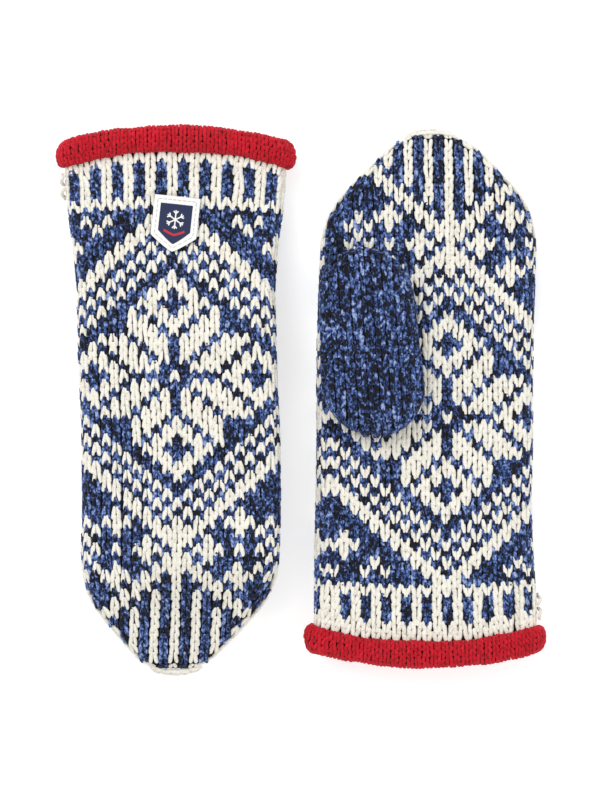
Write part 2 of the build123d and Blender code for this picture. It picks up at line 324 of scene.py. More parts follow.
def is_cream(m, column, n):
    """Which stitches are cream. column counts from the middle of a face, n rows from the cuff."""
    a = np.abs(column)
    a = np.minimum(a, m["columns"] - a)
    d = np.abs(n - MOTIF_ROW)
    # The rose, in its rings of diamonds, in its big diamond
    rose = petal(a, d) | petal(d, a) | ((a == 0) & (d == 0))
    rings = np.isin(a + np.abs(d - 8), (2, 3)) | np.isin(np.abs(a - 8) + d, (2, 3))
    dots = np.isin(a + d, (14, 16)) | ((d - a == 14) & (d <= 16))
    frame = np.isin(a + d, (18, 19))
    chart = (rose | rings | dots | frame) & (d <= CROSSING)
    # Where the big diamonds cross, e rows from the crossing
    e = np.abs(d - CROSSING)
    past = n >= MOTIF_ROW + CROSSING
    chart |= past & np.isin(e - a, (0, 1))
    upper = n > MOTIF_ROW
    small = plus(a, e, 3, 0) | plus(a, e, 6, 3) | ((a == 6) & (e == 0)) | ((a == 0) & (e == 2))
    small |= (a >= 8) & (a <= 10) & (e <= 3) & ((a + e) % 2 == 0)
    chart |= upper & small
    chart |= past & (a % 2 == 0) & (a <= e - 3)
    # Small chevrons and crosses by the cuff
    chart |= ((np.abs(a - 7) == 1) & (n == 7)) | ((a == 7) & (n == 8)) | plus(a, n, 10, 10)
    chart |= (a == 11) & (n == 7)
    # Ribs at the cuff
    first = 2 if m["odd_ribs"] else 1
    chart = np.where((n >= first) & (n <= 4), a % 2 == first - 1, chart)
    return np.where((n < first) | (n == 5), True, chart)


def whole_row(m, turn):
    """Shares round the hand, and columns, of the stitches of a row that goes right round it."""
    total = 2 * m["columns"]
    k = np.arange(total)
    column = np.where(k <= m["columns"] // 2, k, k - m["columns"])
    column = np.where(k > m["columns"] + m["columns"] // 2, k - total, column)
    return k / total + turn, column


def tip_row(m, turn, full, length):
    """Shares round the hand, and columns, of the stitches of a row between the tip's edge chains. full
    is the length round the hand at its widest, and length the length round this row."""
    reach = m["columns"] // 2 + 1
    column = np.arange(-reach, reach + 1)
    pitch = full / (2 * m["columns"])
    front = column * pitch + turn * full
    back = column * pitch - turn * full
    room = length / 4 - CHAIN_SHARE * CHAIN_WIDTH
    front_in, back_in = np.abs(front) < room, np.abs(back) < room
    share = np.concatenate([front[front_in] / length, 0.5 + back[back_in] / length])
    return share, np.concatenate([column[front_in], column[back_in]])


def hand_stitches(m):
    """Every stitch of one hand's faces: share round, distance along, whether it is cream."""
    shares, alongs, creams = [], [], []
    full = round_length(m, np.array([FULL_AT]))[0]
    for n in range(int((m["length"] - FIRST_ROW) / ROW) + 1):
        along = FIRST_ROW + n * ROW
        turn = m["turn"] / full * (1 - TURN_LOSS * step(along, TURN_LOSS_START, TURN_LOSS_END))
        if along < m["length"] - CHAIN_RUN:
            share, column = whole_row(m, turn)
        else:
            share, column = tip_row(m, turn, full, round_length(m, np.array([along]))[0])
        shares.append(share)
        alongs.append(np.full(len(share), along))
        creams.append(is_cream(m, column, np.full(len(share), n)))
    return np.concatenate(shares), np.concatenate(alongs), np.concatenate(creams)


def edge_chain(m, side):
    """Places of the cream stitches that run along one edge of the tip, side being -1 or 1."""
    along = np.linspace(m["length"] - CHAIN_RUN - 1.0, m["length"] - CHAIN_END_GAP, 400)
    share = np.full(along.shape, 0.25 * side)
    p, _, _, out = frames(lambda a, b: hand_point(m, a, b, STITCH_OUT), share, along)
    # On round the end, to its middle
    middle = hand_point(m, np.zeros(1), along[-1:], 0.0)[0]
    finish = np.array([middle[0], p[-1][1], p[-1][2]])
    t = np.linspace(0, 1, 40)[1:, None]
    bulge = np.array([0.0, m["tip_way"] * END_BULGE, 0.0]) * np.sin(math.pi / 2 * t)
    across = p[-1] + t * (finish - p[-1]) + bulge
    p = np.concatenate([p, across])
    out = np.concatenate([out, np.tile([0.0, m["tip_way"], 0.4], (len(across), 1))])
    run = np.concatenate([[0], np.cumsum(np.linalg.norm(np.diff(p, axis=0), axis=1))])
    at = np.arange(0.5, run[-1] / ROW + 0.1) * ROW
    at = at[at < run[-1]]
    pick = np.searchsorted(run, at)
    tangent = np.gradient(p, axis=0)[pick]
    tangent /= np.linalg.norm(tangent, axis=1, keepdims=True)
    out = out[pick] - tangent * np.sum(out[pick] * tangent, axis=1, keepdims=True)
    out /= np.linalg.norm(out, axis=1, keepdims=True)
    return p[pick], np.cross(tangent, out), tangent, out


# ---------------------------------------------------------------- stitches as geometry

# Where a leg's rings are along it, the corners in each, and how flat the leg is pressed
LEG_AT = np.array([0.04, 0.18, 0.36, 0.54, 0.72, 0.87, 0.97])
SIDES = 7
LEG_FLATNESS = 0.86


def leg_shape(way, arch):
    """One leg of a stitch that is 1 wide and 1 long: how far along the leg, path points in the stitch's
    own across, along and out, and radii. way is -1 or 1, for the stitch's two legs."""
    # The legs start close together, and part as they rise over one and a half rows
    t = np.concatenate([[0.0], LEG_AT, [1.0]])
    across = way * (0.085 + 0.235 * t**0.8)
    along = -0.80 + 1.52 * t
    out = arch * (1.25 * np.sin(math.pi * (0.05 + 0.75 * t**0.9)) - 0.2)
    rounding = np.sqrt(1 - (np.clip(t - 0.85, 0, 0.15) / 0.15) ** 2)
    radius = 0.226 * np.sin(math.pi * (0.10 + 0.68 * t)) ** 0.8 * rounding
    radius[0] = radius[-1] = 0.0
    return t, np.stack([across, along, out], axis=-1), radius


def jitter(size, count):
    """A small random change for each of count stitches."""
    return rng.normal(0, size, count)


def leg_tubes(place, width, length, arch, way):
    """One leg of every stitch: its corners, the strand's direction round and distance along at each
    corner, and a random shade for each leg."""
    p, ea, eb, out = (axis[:, None, :] for axis in place)
    count = len(p)
    t, path, radius = leg_shape(way, arch)
    tangent = np.gradient(path, axis=0)
    shade = rng.uniform(0, 1, count)
    lean = jitter(0.03, count)[:, None, None]
    w = (width * (1 + jitter(0.05, count)))[:, None, None]
    l = (length * (1 + jitter(0.04, count)))[:, None, None]
    lift = jitter(0.12, count)[:, None, None]
    centre = (
        p + ea * (path[None, :, 0:1] * w + lean * w)
        + eb * (path[None, :, 1:2] * l) + out * (path[None, :, 2:3] + lift)
    )
    along_leg = (
        ea * tangent[None, :, 0:1] * w + eb * tangent[None, :, 1:2] * l + out * tangent[None, :, 2:3]
    )
    along_leg /= np.linalg.norm(along_leg, axis=-1, keepdims=True)
    sideways = np.cross(np.broadcast_to(out, along_leg.shape), along_leg)
    sideways /= np.linalg.norm(sideways, axis=-1, keepdims=True)
    upward = np.cross(along_leg, sideways)
    around = np.arange(SIDES) / SIDES * 2 * math.pi
    r = radius[None, 1:-1, None, None] * w[..., None]
    ring = (
        centre[:, 1:-1, None, :]
        + sideways[:, 1:-1, None, :] * np.cos(around)[None, None, :, None] * r
        + upward[:, 1:-1, None, :] * np.sin(around)[None, None, :, None] * r * LEG_FLATNESS
    )
    corners = np.concatenate([centre[:, :1, :], ring.reshape(count, -1, 3), centre[:, -1:, :]], axis=1)
    mm = t * 1.5 * ROW
    strand = np.zeros((corners.shape[1], 3))
    strand[0] = (1, 0, mm[0])
    strand[-1] = (1, 0, mm[-1])
    grid = np.zeros((len(LEG_AT), SIDES, 3))
    grid[..., 0] = np.cos(around)
    grid[..., 1] = np.sin(around) * way
    grid[..., 2] = mm[1:-1, None] * way
    strand[1:-1] = grid.reshape(-1, 3)
    strands = np.broadcast_to(strand, corners.shape)
    return corners, strands, np.broadcast_to(shade[:, None], corners.shape[:2])


def leg_faces():
    """The four-sided and three-sided faces of one leg's tube."""
    rings = len(LEG_AT)
    last = 1 + (rings - 1) * SIDES
    quads, tris = [], []
    for s in range(SIDES):
        nxt = (s + 1) % SIDES
        tris.append((0, 1 + nxt, 1 + s))
        tris.append((1 + rings * SIDES, last + s, last + nxt))
        for r in range(rings - 1):
            a = 1 + r * SIDES
            quads.append((a + s, a + nxt, a + SIDES + nxt, a + SIDES + s))
    return np.array(quads), np.array(tris)


def stitch_mesh(name, place, width, length, arch, mat):
    """A mesh with both legs of every stitch. place is (position, across, along, out) arrays;
    width and length are arrays, one value for each stitch, in millimetres."""
    legs = [leg_tubes(place, width, length, arch, way) for way in (-1, 1)]
    corners, strands, shades = (np.concatenate(part) for part in zip(*legs))
    first = np.arange(len(corners))[:, None, None] * corners.shape[1]
    quads, tris = leg_faces()
    quads = (quads[None] + first).reshape(-1, 4)
    tris = (tris[None] + first).reshape(-1, 3)
    obj = quick_mesh(name, corners.reshape(-1, 3) * MM, quads, tris, mat)
    strand_data = obj.data.attributes.new("strand", "FLOAT_VECTOR", "POINT").data
    strand_data.foreach_set("vector", strands.astype(np.float32).ravel())
    shade_data = obj.data.attributes.new("shade", "FLOAT", "POINT").data
    shade_data.foreach_set("value", shades.astype(np.float32).ravel())
    return obj


def quick_mesh(name, verts, quads, tris, mat):
    """A mesh object from arrays of corners, four-sided and three-sided faces."""
    mesh = bpy.data.meshes.new(name)
    nq, nt = len(quads), len(tris)
    mesh.vertices.add(len(verts))
    mesh.vertices.foreach_set("co", np.asarray(verts, np.float32).ravel())
    mesh.loops.add(4 * nq + 3 * nt)
    loops = np.concatenate([np.ravel(quads), np.ravel(tris)]) if nt else np.ravel(quads)
    mesh.loops.foreach_set("vertex_index", loops.astype(np.int32))
    mesh.polygons.add(nq + nt)
    starts = np.concatenate([np.arange(nq) * 4, 4 * nq + np.arange(nt) * 3])
    mesh.polygons.foreach_set("loop_start", starts.astype(np.int32))
    mesh.update(calc_edges=True)
    mesh.validate()
    mesh.polygons.foreach_set("use_smooth", np.ones(len(mesh.polygons), bool))
    obj = bpy.data.objects.new(name, mesh)
    bpy.context.scene.collection.objects.link(obj)
    mesh.materials.append(mat)
    return obj


def grid_mesh(name, points, mat, wrap=False):
    """A mesh from a (rows, columns, 3) grid of points in millimetres."""
    rows, cols, _ = points.shape
    index = np.arange(rows * cols).reshape(rows, cols)
    right = np.roll(index, -1, axis=1) if wrap else index[:, 1:]
    left = index if wrap else index[:, :-1]
    quads = np.stack([left[:-1], right[:-1], right[1:], left[1:]], axis=-1).reshape(-1, 4)
    return quick_mesh(name, points.reshape(-1, 3) * MM, quads, np.zeros((0, 3), int), mat)


# ---------------------------------------------------------------- materials


def principled(name, roughness, sheen=0.0):
    """A new material, its node tree and its shader."""
    mat = bpy.data.materials.new(name)
    mat.use_nodes = True
    tree = mat.node_tree
    shader = tree.nodes["Principled BSDF"]
    shader.inputs["Roughness"].default_value = roughness
    shader.inputs["Specular IOR Level"].default_value = 0.25
    shader.inputs["Sheen Weight"].default_value = sheen
    shader.inputs["Sheen Roughness"].default_value = 0.6
    return mat, tree, shader


def add_node(tree, kind, **values):
    """A new node, with values for its inputs or its own settings."""
    node = tree.nodes.new(kind)
    for key, value in values.items():
        if key in node.inputs:
            node.inputs[key].default_value = value
        else:
            setattr(node, key, value)
    return node


def math_node(tree, operation, a, b=None):
    """The result of an operation on numbers or other nodes' outputs."""
    node = tree.nodes.new("ShaderNodeMath")
    node.operation = operation
    for slot, value in enumerate((a, b)):
        if value is None:
            continue
        if isinstance(value, (int, float)):
            node.inputs[slot].default_value = value
        else:
            tree.links.new(value, node.inputs[slot])
    return node.outputs[0]


def ramp_node(tree, factor, stops):
    """A colour that runs through stops of (place, colour)."""
    ramp = tree.nodes.new("ShaderNodeValToRGB")
    while len(ramp.color_ramp.elements) < len(stops):
        ramp.color_ramp.elements.new(0.5)
    for element, (at, colour) in zip(ramp.color_ramp.elements, stops):
        element.position = at
        element.color = (*colour, 1)
    tree.links.new(factor, ramp.inputs["Fac"])
    return ramp.outputs["Color"]


def noise(tree, scale, detail=3.0):
    """A noise in the object's own space, finer with a larger scale."""
    coords = tree.nodes.new("ShaderNodeTexCoord").outputs["Object"]
    node = add_node(tree, "ShaderNodeTexNoise", Scale=scale, Detail=detail, Roughness=0.6)
    tree.links.new(coords, node.inputs["Vector"])
    return node.outputs["Fac"]


def streaks(tree, strand, shade):
    """A noise drawn out along each leg, different in every stitch."""
    place = tree.nodes.new("ShaderNodeVectorMath")
    place.operation = "MULTIPLY_ADD"
    tree.links.new(strand, place.inputs[0])
    place.inputs[1].default_value = (0.62, 0.62, 0.42)
    tree.links.new(math_node(tree, "MULTIPLY", shade, 61.0), place.inputs[2])
    node = add_node(tree, "ShaderNodeTexNoise", Scale=1.0, Detail=2.5, Roughness=0.55)
    tree.links.new(place.outputs["Vector"], node.inputs["Vector"])
    return node.outputs["Fac"]


# How many ridges the plies make round a leg, and how fast they twist along it
PLIES = 2.0
TWIST = 3.6
# How much of a yarn's mottle is specks through the whole fabric, and how much is streaks along each leg
SPECKS = 0.35
STREAKS = 0.85
# How much the plies and the fuzz each add to the bump of a yarn
PLY_HEIGHT = 0.35
FUZZ_HEIGHT = 0.55


def yarn(name, stops, mottle_scale, sheen, mottle=1.0, legs=0.1):
    """Spun wool. Its colours run along stops by a mottle in streaks and specks, with painted shade in the
    grooves of the plies that twist round each leg. legs is how much one leg's colour differs from the next
    one's."""
    mat, tree, shader = principled(name, 0.9, sheen)
    strand = add_node(tree, "ShaderNodeAttribute", attribute_name="strand")
    split = tree.nodes.new("ShaderNodeSeparateXYZ")
    tree.links.new(strand.outputs["Vector"], split.inputs[0])
    angle = math_node(tree, "ARCTAN2", split.outputs["Y"], split.outputs["X"])
    phase = math_node(tree, "ADD", math_node(tree, "MULTIPLY", angle, PLIES),
                      math_node(tree, "MULTIPLY", split.outputs["Z"], TWIST))
    plies = math_node(tree, "ABSOLUTE", math_node(tree, "SINE", math_node(tree, "MULTIPLY", phase, 0.5)))
    shade = add_node(tree, "ShaderNodeAttribute", attribute_name="shade").outputs["Fac"]
    drawn_out = streaks(tree, strand.outputs["Vector"], shade)
    mixed = math_node(tree, "ADD", math_node(tree, "MULTIPLY", noise(tree, mottle_scale), SPECKS),
                      math_node(tree, "MULTIPLY", drawn_out, STREAKS))
    spread = math_node(tree, "MULTIPLY", math_node(tree, "SUBTRACT", mixed, 0.6), mottle)
    by_leg = math_node(tree, "MULTIPLY", math_node(tree, "SUBTRACT", shade, 0.5), legs)
    mottle_and_ply_shade = math_node(tree, "ADD", math_node(tree, "ADD", spread, 0.55), by_leg)
    # Painted shade: the plies' grooves go darker and their ridges lighter, on top of the bump
    mottle_and_ply_shade = math_node(tree, "ADD", mottle_and_ply_shade, math_node(tree, "MULTIPLY", plies, 0.08))
    colour = ramp_node(tree, mottle_and_ply_shade, stops)
    tree.links.new(colour, shader.inputs["Base Color"])
    fuzz = noise(tree, 2600.0, 2.0)
    height = math_node(tree, "ADD", math_node(tree, "MULTIPLY", plies, PLY_HEIGHT),
                       math_node(tree, "MULTIPLY", fuzz, FUZZ_HEIGHT))
    bump = add_node(tree, "ShaderNodeBump", Strength=0.55, Distance=0.0006)
    tree.links.new(height, bump.inputs["Height"])
    tree.links.new(bump.outputs["Normal"], shader.inputs["Normal"])
    return mat


def plain(name, colour, roughness=0.95, sheen=0.0, scale=900.0, bump_mm=0.25, vary=0.25):
    """One colour with a fine uneven surface. vary is how far the colour goes darker and lighter."""
    mat, tree, shader = principled(name, roughness, sheen)
    dark = tuple(c * (1 - vary) for c in colour)
    light = tuple(min(1, c * (1 + vary)) for c in colour)
    value = noise(tree, scale)
    tree.links.new(ramp_node(tree, value, [(0.3, dark), (0.7, light)]), shader.inputs["Base Color"])
    bump = add_node(tree, "ShaderNodeBump", Strength=0.6, Distance=bump_mm * MM)
    tree.links.new(value, bump.inputs["Height"])
    tree.links.new(bump.outputs["Normal"], shader.inputs["Normal"])
    return mat


def weave(name, colour, vary=0.1):
    """The label's close weave, or its thread."""
    return plain(name, colour, roughness=0.6, sheen=0.1, scale=1500.0, bump_mm=0.1, vary=vary)


def linear(r, g, b):
    """sRGB 0-255 to linear."""
    return tuple(((c / 255 + 0.055) / 1.055) ** 2.4 for c in (r, g, b))


CREAM = [
    (0.32, linear(192, 186, 172)), (0.55, linear(229, 225, 213)), (0.85, linear(243, 240, 231)),
]
BLUE = [
    (0.44, linear(4, 6, 16)), (0.55, linear(18, 28, 58)), (0.66, linear(48, 72, 128)),
    (0.80, linear(80, 108, 168)), (1.0, linear(156, 172, 206)),
]
RED = [(0.36, linear(120, 0, 14)), (0.56, linear(182, 2, 26)), (0.84, linear(214, 18, 48))]


# ---------------------------------------------------------------- the hand


def hand_stitching(name, m, mats):
    """The stitches of a hand's two faces, one piece for each face and colour."""
    share, along, cream = hand_stitches(m)
    share = share + rng.normal(0, 0.0004, len(share))
    place = frames(lambda a, b: hand_point(m, a, b, STITCH_OUT), share, along)
    # Where the loop narrows, the stitches are narrower
    pitch = np.minimum(round_length(m, along) / (2 * m["columns"]), STITCH * 1.12)
    pitch = np.maximum(pitch, STITCH * 0.9)
    upper = np.abs((share + 0.5) % 1 - 0.5) <= 0.25
    for face, on_face in (("upper", upper), ("under", ~upper)):
        for colour, chosen in (("cream", cream), ("blue", ~cream)):
            pick = on_face & chosen
            part = tuple(v[pick] for v in place)
            # The last rows are shorter, to end inside the tip
            row_length = np.clip((m["length"] - 1.2 - along[pick]) / 0.72, 2.4, ROW)
            obj = stitch_mesh(
                f"{name}_{face}_{colour}_stitches", part, 1.11 * pitch[pick], row_length, LEG_ARCH,
                mats[colour],
            )
            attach(obj, f"{name}_hand")


def edge_stitching(name, m, mats):
    """The cream chain along both edges of the tip."""
    chain = tuple(np.concatenate(pair) for pair in zip(edge_chain(m, -1), edge_chain(m, 1)))
    count = len(chain[0])
    obj = stitch_mesh(
        f"{name}_edge_stitches", chain, np.full(count, CHAIN_WIDTH), np.full(count, ROW), CHAIN_ARCH,
        mats["cream"],
    )
    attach(obj, f"{name}_hand")


def hand_layers(name, m, mats):
    """The backing under a hand's stitches, dark as painted shade in their gaps, and the fleece lining seen
    at its cuff.
    """
    shares = np.linspace(0, 1, 96, endpoint=False)
    a, b = np.meshgrid(shares, np.linspace(0.0, m["length"] - 2.0, 120))
    outer = hand_point(m, a, b, BACKING_OUT)
    backing = grid_mesh(f"{name}_hand_backing_painted_shade", outer, mats["backing"], wrap=True)
    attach(backing, f"{name}_hand")
    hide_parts(f"{name}_hand_back", f"{name}_hand_palm", f"{name}_hand_tip")
    # The lining reaches 4 mm past the fabric's edge, into the roll
    a, b = np.meshgrid(shares, np.linspace(-4.0, m["length"] - 12, 80))
    inner = hand_point(m, a, np.maximum(b, 0.0), FLEECE_OUT)
    inner[..., 1] = along_y(m, b + cuff_bend(m, (inner[..., 0] - m["centre"]), b))
    lining = grid_mesh(f"{name}_hand_fleece", inner, mats["fleece"], wrap=True)
    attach(lining, f"{name}_hand")
    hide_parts(f"{name}_lining_back", f"{name}_lining_palm")


def roll_piece(name, m, mats):
    """The red edge, rolled outwards: stitches that run round a tube which goes round the cuff."""
    half = (ROLL_LENGTH - ROLL_SPARE) / 2

    def point(a, b):
        """a is the share round the cuff, b how far round the roll from its inner edge, in rows."""
        angle = ROLL_START * math.pi + b / ROLL_ROWS * ROLL_TURN * math.pi
        wave = 1 + 0.05 * np.sin(a * 2 * math.pi * 5 + 0.7) + 0.03 * np.sin(a * 2 * math.pi * 13)
        out = ROLL_OUT + (ROLL_HEIGHT / 2 - ROLL_INSET_UP) * np.sin(angle) * wave
        base = hand_point(m, a, np.zeros_like(a * b), out)
        bend = cuff_bend(m, base[..., 0] - m["centre"], 0.0)
        base[..., 1] = along_y(m, bend - half + (half - ROLL_INSET_ALONG) * np.cos(angle) * wave)
        return base

    # Columns evenly spaced along the roll's outside
    fine = np.linspace(0, 1, 2001)
    outside = point(fine, np.full(fine.shape, 0.5 * ROLL_ROWS))
    run = np.concatenate([[0], np.cumsum(np.linalg.norm(np.diff(outside, axis=0), axis=1))])
    count = int(run[-1] / ROLL_PITCH)
    shares = np.interp(np.arange(count) * run[-1] / count, run, fine)
    share, row = np.meshgrid(shares, np.arange(ROLL_ROWS) + 0.3)
    place = frames(point, share.ravel(), row.ravel())
    girth = math.pi * (ROLL_HEIGHT + 2 * half) / 2 * ROLL_TURN / 2
    obj = stitch_mesh(
        f"{name}_rolled_cuff_stitches", place, np.full(share.size, 1.1 * run[-1] / count),
        np.full(share.size, girth / ROLL_ROWS), ROLL_ARCH, mats["red"],
    )
    # A plain tube inside the stitches: red yarn, darkened as painted shade between them
    shares = np.interp(np.arange(150) * run[-1] / 150, run, fine)
    a, b = np.meshgrid(shares, np.linspace(0, ROLL_ROWS, 28))
    core_points = point(a, b)
    centre = core_points.mean(axis=0, keepdims=True)
    core_points = centre + (core_points - centre) * 0.90
    core = grid_mesh(f"{name}_rolled_cuff_core", core_points, mats["red_core_painted_shade"], wrap=True)
    for o in (obj, core):
        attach(o, f"{name}_hand")
    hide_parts(f"{name}_cuff_roll")


# ---------------------------------------------------------------- the thumb


def thumb_size(m, v):
    """Half width and half height of the thumb, v millimetres from its root's middle to its tip."""
    start, end = -THUMB_ROOT_RADIUS, THUMB_REACH + THUMB_TIP_RADIUS
    root = np.sqrt(np.clip(THUMB_ROOT_RADIUS**2 - np.minimum(v, 0) ** 2, 0.01, None))
    tip = np.sqrt(np.clip(THUMB_TIP_RADIUS**2 - np.maximum(v - THUMB_REACH, 0) ** 2, 0.01, None))
    middle = THUMB_ROOT_RADIUS + (THUMB_TIP_RADIUS - THUMB_ROOT_RADIUS) * v / THUMB_REACH
    width = np.where(v < 0, root, np.where(v > THUMB_REACH, tip, middle))
    gap = np.minimum(v - start, end - v)
    rounding = np.sqrt(np.clip(1 - (1 - np.minimum(gap / THUMB_ROUNDING, 1)) ** 2, 0.02, 1))
    height = m["thumb_height"] / 2 * rounding
    return np.maximum(width - THUMB_INSET, 1.0), np.maximum(np.minimum(height, width * 0.98), 0.8)


def thumb_point(m, share, v, offset):
    """A point on the thumb, share round it as on the hand."""
    share = (share + 0.5) % 1.0 - 0.5
    half_width, half_height = thumb_size(m, v)
    across, up = round_oval(half_width, half_height, share, offset, THUMB_END_SHARE)
    across = across + THUMB_LEAN * v / THUMB_REACH
    floor = 2 * PALM_HALF_HEIGHT + 0.1 if m["palm_up"] else 0.0
    z = np.maximum(floor + m["thumb_height"] / 2 + up, floor + 0.2)
    x = m["centre"] + m["thumb_way"] * (m["thumb_across"] + across)
    y = along_y(m, THUMB_ALONG + v)
    return np.stack([x, y, z], axis=-1)


def thumb_pieces(name, m, mats):
    """The thumb's stitches, row by row over both faces, and the backing under them, dark as painted shade
    in their gaps.
    """
    shares, places = [], []
    start, end = -THUMB_ROOT_RADIUS, THUMB_REACH + THUMB_TIP_RADIUS
    for n in range(int((end - start) / ROW) + 1):
        v = start + THUMB_FIRST_ROW + n * ROW
        if v > end - THUMB_LAST_GAP:
            break
        half_width, half_height = thumb_size(m, np.array([v]))
        # About how far it is half round the thumb here
        half = 2 * (half_width[0] - 0.4 * half_height[0]) + 1.2 * half_height[0]
        column = np.arange(-7, 8)
        keep = np.abs(column * STITCH) < half / 2 - 0.3 * STITCH
        top = column[keep] * STITCH / (2 * half)
        both = np.concatenate([top, 0.5 + top, [0.25, -0.25]])
        shares.append(both)
        places.append(np.full(len(both), v))
    share, v = np.concatenate(shares), np.concatenate(places)
    place = frames(lambda a, b: thumb_point(m, a, b, THUMB_STITCH_OUT), share, v)
    obj = stitch_mesh(
        f"{name}_thumb_stitches", place, np.full(len(v), STITCH * 1.12), np.full(len(v), ROW),
        LEG_ARCH, mats["blue"],
    )
    a, b = np.meshgrid(
        np.linspace(0, 1, 64, endpoint=False), np.linspace(start + 0.2, end - 0.2, 60)
    )
    inner = thumb_point(m, a, b, BACKING_OUT)
    backing = grid_mesh(f"{name}_thumb_backing_painted_shade", inner, mats["backing"], wrap=True)
    for o in (obj, backing):
        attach(o, f"{name}_thumb")
    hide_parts(f"{name}_thumb_knit", f"{name}_thumb_tip", f"{name}_thumb_lining")


# ---------------------------------------------------------------- the label


def label_point(m, u, v, offset):
    """A point on the turned label: u across it, v towards the tip, from its middle."""
    turn = math.radians(LABEL_TURN)
    across = u * math.cos(turn) + v * math.sin(turn)
    along = LABEL_ALONG + v * math.cos(turn) - u * math.sin(turn)
    round_mm = round_length(m, along)
    share = across / round_mm
    if m["palm_up"]:
        share = 0.5 - share
    # Under the hand, the label's layers are pressed thin
    return hand_point(m, share, along, offset, LOWEST - PRESSED * (offset - 1.0))


def shield(name, m, mat, outline, offset, thickness):
    """One layer of the label: straight sides from its top to its shoulder, then in to a point."""
    top, shoulder, bottom = outline["top"], outline["shoulder"], outline["bottom"]
    uu, vv = np.meshgrid(np.linspace(-1, 1, 40), np.linspace(top, bottom, 44))
    point = np.clip((bottom - vv) / (bottom - shoulder), 0, 1)
    width = outline["half_width"] * np.where(vv < shoulder, 1.0, point**0.85)
    points = label_point(m, uu * width, vv, offset)
    obj = grid_mesh(name, points, mat)
    if m["palm_up"]:
        obj.data.flip_normals()
    thick = obj.modifiers.new("thickness", "SOLIDIFY")
    thick.thickness = thickness * MM * (PRESSED if m["palm_up"] else 1.0)
    thick.offset = 1.0 if m["tip_way"] * m["thumb_way"] * (-1 if m["palm_up"] else 1) > 0 else -1.0
    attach(obj, f"{m['name']}_hand")
    return obj


def ribbon(name, m, mat, path, width, offset):
    """A flat band on the label along a path of (u, v) points."""
    path = np.asarray(path, float)
    direction = np.gradient(path, axis=0)
    direction /= np.linalg.norm(direction, axis=1, keepdims=True) + 1e-9
    normal = np.stack([-direction[:, 1], direction[:, 0]], axis=1)
    sides = np.array([-0.5, 0.0, 0.5]) * width
    grid = path[:, None, :] + normal[:, None, :] * sides[None, :, None]
    bump = offset + np.array([0.0, 0.18, 0.0])
    points = label_point(m, grid[..., 0], grid[..., 1], np.broadcast_to(bump, grid.shape[:2]))
    obj = grid_mesh(name, points, mat)
    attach(obj, f"{m['name']}_hand")
    return obj


def border_dashes():
    """The sewing stitches round the label's backing, as paths of (u, v) points."""
    corners = np.array([(-9.6, -11.8), (9.6, -11.8), (9.6, 5.4), (0.0, 11.9), (-9.6, 5.4)])
    dashes = []
    for p, q in zip(corners, np.roll(corners, -1, axis=0)):
        count = int(np.linalg.norm(q - p) / 2.4)
        for k in range(count):
            a, b = (k + 0.15) / count, (k + 0.85) / count
            dashes.append(p + (q - p) * np.linspace(a, b, 5)[:, None])
    return dashes


def snowflake():
    """A plain six-armed snowflake with two twigs on each arm, as paths of (u, v) points."""
    centre = np.array([0, -2.2])
    flake = []
    for k in range(3):
        angle = math.pi / 6 + k * math.pi / 3
        d = np.array([math.cos(angle), math.sin(angle)])
        flake.append(np.linspace(-4.6, 4.6, 9)[:, None] * d + centre)
        for end in (-1, 1):
            for twig in (-1, 1):
                side_angle = angle + twig * math.pi / 4
                arm = np.array([math.cos(side_angle), math.sin(side_angle)]) * end
                flake.append(end * 3.0 * d + np.linspace(0, 1.7, 4)[:, None] * arm + centre)
    return flake


def label_pieces(name, m, mats):
    """The label's white backing, its navy field, and what is sewn and woven on them."""
    patch = shield(f"{name}_label_backing", m, mats["label_white"], PATCH, LABEL_OUT, 0.7)
    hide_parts(f"{name}_label_patch")
    field = shield(f"{name}_label_field", m, mats["label_navy"], FIELD, FIELD_OUT, 0.4)
    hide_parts(f"{name}_label_shield")
    objs = [
        ribbon(f"{name}_label_stitch_{k}", m, mats["label_thread"], path, 0.5, THREAD_OUT)
        for k, path in enumerate(border_dashes())
    ]
    objs += [
        ribbon(f"{name}_label_flake_{k}", m, mats["label_white"], path, 0.62, EMBLEM_OUT)
        for k, path in enumerate(snowflake())
    ]
    bar = np.array([(-5.2, 3.3), (-2.6, 4.5), (0, 5.4), (2.6, 4.5), (5.2, 3.3)])
    objs.append(ribbon(f"{name}_label_bar", m, mats["label_red"], bar, 1.1, EMBLEM_OUT))
    join(objs, f"{name}_label_sewing")
    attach(objs[0], f"{name}_hand")
    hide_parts(f"{name}_label_stitches")


def join(objs, name):
    """Make one object of several."""
    bpy.ops.object.select_all(action="DESELECT")
    for o in objs:
        o.select_set(True)
    bpy.context.view_layer.objects.active = objs[0]
    bpy.ops.object.join()
    objs[0].name = name


# ---------------------------------------------------------------- darned yarn ends


def tube(name, path, radius, mat, sides=8):
    """A round tube along a path in millimetres, tapered to its ends."""
    path = np.asarray(path, float)
    tangent = np.gradient(path, axis=0)
    tangent /= np.linalg.norm(tangent, axis=1, keepdims=True)
    sideways = np.cross(tangent, np.array([0.3, 0.2, 0.9]))
    sideways /= np.linalg.norm(sideways, axis=1, keepdims=True)
    up = np.cross(tangent, sideways)
    around = np.arange(sides) / sides * 2 * math.pi
    t = np.linspace(0, 1, len(path))
    r = radius * np.clip(np.minimum(t, 1 - t) * 8, 0.05, 1) ** 0.5
    ring = path[:, None, :] + r[:, None, None] * (
        sideways[:, None, :] * np.cos(around)[None, :, None]
        + up[:, None, :] * np.sin(around)[None, :, None]
    )
    return grid_mesh(name, ring, mat, wrap=True)


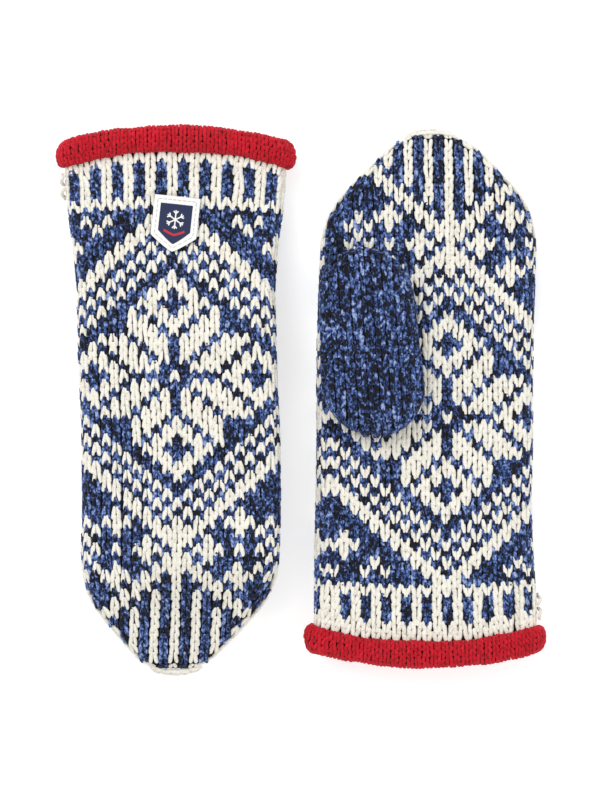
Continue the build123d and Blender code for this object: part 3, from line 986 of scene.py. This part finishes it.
def yarn_ends(name, m, mats):
    """Two darned cream ends at the cuff's corner away from the thumb."""
    objs = []
    for k, along in enumerate((6.5, 15.0)):
        t = np.linspace(0, 1, 14)
        share = -0.25 + 0.012 * np.sin(t * math.pi * 1.5 + k)
        path = hand_point(m, share, along - 3.5 + 7.5 * t, 1.9 + 0.9 * np.sin(t * math.pi))
        objs.append(tube(f"{name}_yarn_end_{k}", path, 0.95, mats["cream"]))
    join(objs, f"{name}_yarn_tails")
    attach(objs[0], f"{name}_hand")
    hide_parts(f"{name}_yarn_ends")


# ---------------------------------------------------------------- scene

# In metres: the floor is just under the lowest stitch
FLOOR_Z = -0.0012
CAMERA_Z = 3.0


def white_surface():
    """The floor, a little lit from within so that it stays white."""
    mat, _, shader = principled("white_surface", 0.9)
    shader.inputs["Base Color"].default_value = (0.75, 0.75, 0.75, 1)
    shader.inputs["Emission Color"].default_value = (1, 1, 1, 1)
    shader.inputs["Emission Strength"].default_value = 0.45
    bpy.ops.mesh.primitive_plane_add(size=6.0, location=(0, 0, FLOOR_Z))
    floor = bpy.context.object
    floor.name = "white_surface"
    floor.data.materials.append(mat)


def studio_world():
    """White light from all round."""
    world = bpy.data.worlds.new("studio")
    bpy.context.scene.world = world
    world.use_nodes = True
    background = world.node_tree.nodes["Background"]
    background.inputs["Color"].default_value = (1, 1, 1, 1)
    background.inputs["Strength"].default_value = 0.75


def area_light(name, place, size, power):
    """A square light that points at the origin."""
    light = bpy.data.lights.new(name, "AREA")
    light.size = size
    light.energy = power
    obj = bpy.data.objects.new(name, light)
    obj.location = place
    direction = -obj.location
    obj.rotation_euler = direction.to_track_quat("-Z", "Y").to_euler()
    bpy.context.scene.collection.objects.link(obj)


def overhead_camera():
    """A long lens straight above the pair."""
    data = bpy.data.cameras.new("camera")
    data.lens = 238.5
    data.sensor_fit = "VERTICAL"
    data.sensor_height = 32
    camera = bpy.data.objects.new("camera", data)
    camera.location = (0, 0, CAMERA_Z)
    bpy.context.scene.collection.objects.link(camera)
    bpy.context.scene.camera = camera


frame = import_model()

MATS = {
    "cream": yarn("cream_wool_yarn", CREAM, 700.0, sheen=0.3, mottle=0.9),
    "blue": yarn("blue_heather_yarn", BLUE, 640.0, sheen=0.08, mottle=2.1, legs=0.3),
    "red": yarn("red_wool_yarn", RED, 700.0, sheen=0.06),
    # The knit's inside, nearly black: painted shade seen in the gaps between stitches
    "backing": plain("knit_backing_painted_shade", linear(10, 13, 28)),
    # Red yarn inside the roll, darkened as painted shade between its stitches
    "red_core_painted_shade": plain("red_core_painted_shade", linear(84, 0, 12)),
    "fleece": plain("fleece_lining", linear(38, 44, 62), sheen=0.4, scale=700.0, bump_mm=0.8),
    "label_white": weave("label_white_weave", linear(236, 234, 230), 0.06),
    "label_navy": weave("label_navy_weave", linear(26, 38, 74), 0.2),
    "label_red": weave("label_red_weave", linear(190, 40, 48)),
    "label_thread": weave("label_thread_grey", linear(196, 196, 200)),
}

for side_name, mitten in MITTENS.items():
    mitten["name"] = side_name
    hand_stitching(side_name, mitten, MATS)
    edge_stitching(side_name, mitten, MATS)
    hand_layers(side_name, mitten, MATS)
    roll_piece(side_name, mitten, MATS)
    thumb_pieces(side_name, mitten, MATS)
    label_pieces(side_name, mitten, MATS)
    yarn_ends(side_name, mitten, MATS)

# Soft light, mostly from the upper left
white_surface()
studio_world()
area_light("key", (-0.7, 0.9, 1.3), 1.1, 15.0)
area_light("fill", (0.9, -0.5, 1.1), 1.2, 6.0)
overhead_camera()
bpy.context.scene.view_settings.view_transform = "Standard"
